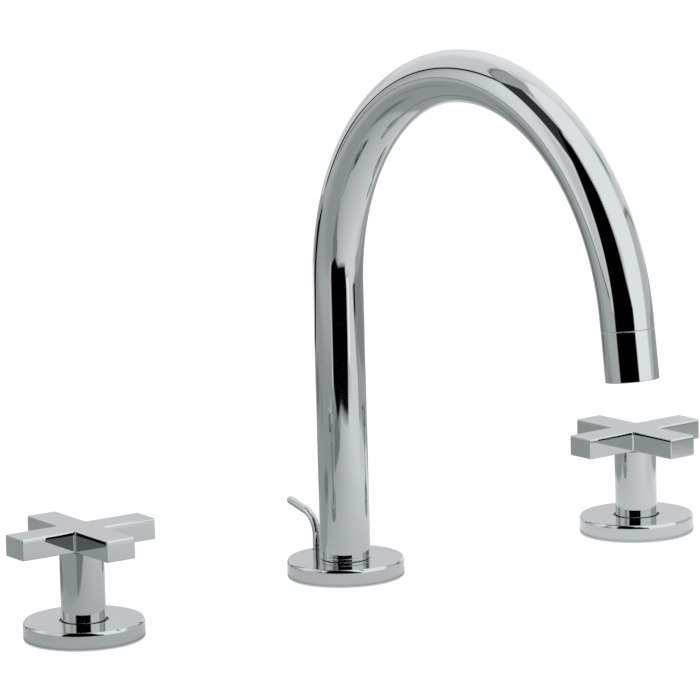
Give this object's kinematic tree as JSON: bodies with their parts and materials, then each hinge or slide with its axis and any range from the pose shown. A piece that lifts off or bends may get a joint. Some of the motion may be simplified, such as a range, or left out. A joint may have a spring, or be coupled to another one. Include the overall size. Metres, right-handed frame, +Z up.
{
  "type": "widespread basin faucet",
  "caption": "Widespread basin faucet: tall swivelling gooseneck spout with aerator, quarter-turn cross handles on round escutcheons, and a bent lift rod behind the spout.",
  "frame": {"origin": "centre of the spout's base on the deck's top face", "axes": "+Z up, -Y forward where the spout points, hot handle towards -X, cold handle towards +X"},
  "size_m": [0.395, 0.2797, 0.3705],
  "materials": {
    "chrome": "polished chrome plate",
    "brass": "machined brass",
    "steel": "zinc plated steel",
    "rubber": "moulded rubber",
    "nylon": "moulded nylon",
    "ceramic": "lapped ceramic",
    "fibre": "pressed fibre"
  },
  "bodies": {
    "root": {"cold_bonnet_washer": "fibre", "cold_cartridge_bush": "brass", "cold_escutcheon": "chrome", "cold_fixed_disc": "ceramic", "cold_glide_ring": "nylon", "cold_seat_seal": "rubber", "cold_valve_body": "brass", "hot_bonnet_washer": "fibre", "hot_cartridge_bush": "brass", "hot_escutcheon": "chrome", "hot_fixed_disc": "ceramic", "hot_glide_ring": "nylon", "hot_seat_seal": "rubber", "hot_valve_body": "brass", "lift_rod_guide": "nylon", "mounting_nuts": "brass", "rubber_washers": "rubber", "spout_escutcheon": "chrome", "spout_gasket": "rubber", "spout_glide_ring": "nylon", "spout_shank": "brass", "spout_tee": "brass", "steel_washers": "steel", "swivel_stop_screw": "steel", "tee_gasket": "rubber", "valve_gaskets": "rubber", "valve_top_flanges": "brass"},
    "spout": {"spout_tube": "chrome", "spout_spigot": "chrome", "spout_o_rings": "rubber", "aerator_housing": "chrome", "aerator_cage": "nylon", "aerator_diffuser": "nylon", "aerator_washer": "rubber"},
    "lift_rod": {"lift_rod": "chrome", "lift_rod_clamp": "brass", "thumb_screws": "brass"},
    "hot_handle": {"hot_spindle": "brass", "hot_spindle_o_rings": "rubber", "hot_moving_disc": "ceramic", "hot_handle_stem": "chrome", "hot_handle_cross": "chrome", "hot_handle_screw": "steel", "hot_set_screw": "steel"},
    "cold_handle": {"cold_spindle": "brass", "cold_spindle_o_rings": "rubber", "cold_moving_disc": "ceramic", "cold_handle_stem": "chrome", "cold_handle_cross": "chrome", "cold_handle_screw": "steel", "cold_set_screw": "steel"}
  },
  "joints": [
    {"name": "spout_swivel", "type": "hinge", "parent": "root", "child": "spout", "pos_m": [0, 0, 0], "axis": [0, 0, 1], "range_deg": [-60, 60]},
    {"name": "hot_turn", "type": "hinge", "parent": "root", "child": "hot_handle", "pos_m": [-0.162, -0.02, 0], "axis": [0, 0, 1], "range_deg": [0, 90]},
    {"name": "cold_turn", "type": "hinge", "parent": "root", "child": "cold_handle", "pos_m": [0.162, -0.02, 0], "axis": [0, 0, -1], "range_deg": [0, 90]},
    {"name": "rod_lift", "type": "slide", "parent": "root", "child": "lift_rod", "axis": [0, 0, 1], "range_m": [0, 0.025]}
  ]
}
